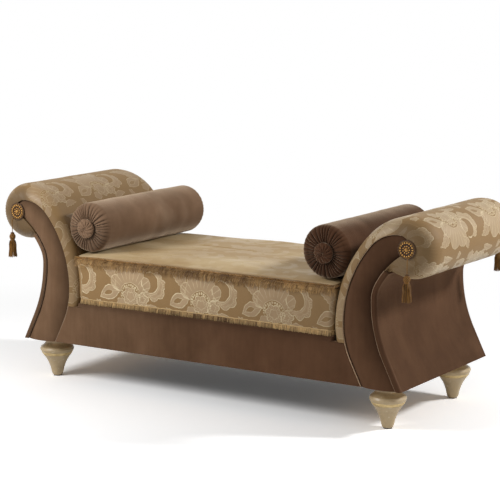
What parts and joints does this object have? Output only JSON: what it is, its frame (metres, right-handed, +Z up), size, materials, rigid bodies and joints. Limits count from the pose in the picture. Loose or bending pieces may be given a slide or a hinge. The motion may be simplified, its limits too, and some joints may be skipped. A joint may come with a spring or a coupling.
{
  "type": "recamier",
  "caption": "Backless upholstered bench with two scrolled arms, a loose seat cushion, two bolsters, tassels on rosettes and turned feet.",
  "frame": {"origin": "floor level under the middle of the seat", "axes": "+X along the seat towards the right arm, -Y out of the front, +Z up"},
  "size_m": [1.8548, 0.7466, 0.7414],
  "materials": {
    "hardwood": "planed beech",
    "plywood": "sawn birch plywood",
    "hardboard": "bent hardboard",
    "webbing": "elastic webbing",
    "felt": "felted padding under cotton",
    "cambric": "black cambric",
    "damask": "woven damask with pale floral figure",
    "velvet": "cut pile velvet",
    "passementerie": "twisted silk cord and fringe",
    "painted_wood": "cream lacquer over turned wood",
    "gilt": "gilt bead",
    "steel": "zinc plated",
    "glide": "moulded nylon"
  },
  "bodies": {
    "frame": {"front_rail": "hardwood", "back_rail": "hardwood", "left_end_rail": "hardwood", "right_end_rail": "hardwood", "cross_bearers": "hardwood", "corner_blocks": "hardwood", "webbing_cross": "webbing", "webbing_long": "webbing", "seat_deck": "felt", "dust_cover": "cambric", "left_base_board": "plywood", "right_base_board": "plywood", "left_ribs": "plywood", "right_ribs": "plywood", "left_arm_stretchers": "hardwood", "right_arm_stretchers": "hardwood", "left_arm_skin": "hardboard", "right_arm_skin": "hardboard", "left_arm_cover": "damask", "right_arm_cover": "damask", "left_scroll_cover": "damask", "right_scroll_cover": "damask", "left_side_panel": "velvet", "right_side_panel": "velvet", "left_front_facing": "velvet", "left_back_facing": "velvet", "right_front_facing": "velvet", "right_back_facing": "velvet", "front_panel": "velvet", "back_panel": "velvet", "left_front_rosette": "passementerie", "left_back_rosette": "passementerie", "right_front_rosette": "passementerie", "right_back_rosette": "passementerie", "front_left_foot": "painted_wood", "front_right_foot": "painted_wood", "back_left_foot": "painted_wood", "back_right_foot": "painted_wood", "foot_rings": "gilt", "foot_glides": "glide", "foot_bolts": "steel", "foot_nuts": "steel"},
    "left_front_tassel_body": {"left_front_cord": "passementerie", "left_front_tassel": "passementerie"},
    "left_back_tassel_body": {"left_back_cord": "passementerie", "left_back_tassel": "passementerie"},
    "right_front_tassel_body": {"right_front_cord": "passementerie", "right_front_tassel": "passementerie"},
    "right_back_tassel_body": {"right_back_cord": "passementerie", "right_back_tassel": "passementerie"},
    "cushion": {"seat_cushion": "damask", "top_ruche": "passementerie", "bottom_ruche": "passementerie"},
    "left_bolster_body": {"left_bolster": "velvet", "left_bolster_buttons": "velvet"},
    "right_bolster_body": {"right_bolster": "velvet", "right_bolster_buttons": "velvet"}
  },
  "joints": [
    {"name": "cushion_lift", "type": "slide", "parent": "frame", "child": "cushion", "axis": [0, 0, 1], "range_m": [0, 0.3]},
    {"name": "left_bolster_lift", "type": "slide", "parent": "cushion", "child": "left_bolster_body", "axis": [0, 0, 1], "range_m": [0, 0.25]},
    {"name": "right_bolster_lift", "type": "slide", "parent": "cushion", "child": "right_bolster_body", "axis": [0, 0, 1], "range_m": [0, 0.25]},
    {"name": "left_front_tassel_swing", "type": "hinge", "parent": "frame", "child": "left_front_tassel_body", "pos_m": [-0.84094, -0.3413, 0.61223], "axis": [0, 1, 0], "range_deg": [-35, 35]},
    {"name": "left_back_tassel_swing", "type": "hinge", "parent": "frame", "child": "left_back_tassel_body", "pos_m": [-0.84094, 0.3413, 0.61223], "axis": [0, 1, 0], "range_deg": [-35, 35]},
    {"name": "right_front_tassel_swing", "type": "hinge", "parent": "frame", "child": "right_front_tassel_body", "pos_m": [0.84094, -0.3413, 0.61223], "axis": [0, 1, 0], "range_deg": [-35, 35]},
    {"name": "right_back_tassel_swing", "type": "hinge", "parent": "frame", "child": "right_back_tassel_body", "pos_m": [0.84094, 0.3413, 0.61223], "axis": [0, 1, 0], "range_deg": [-35, 35]}
  ]
}
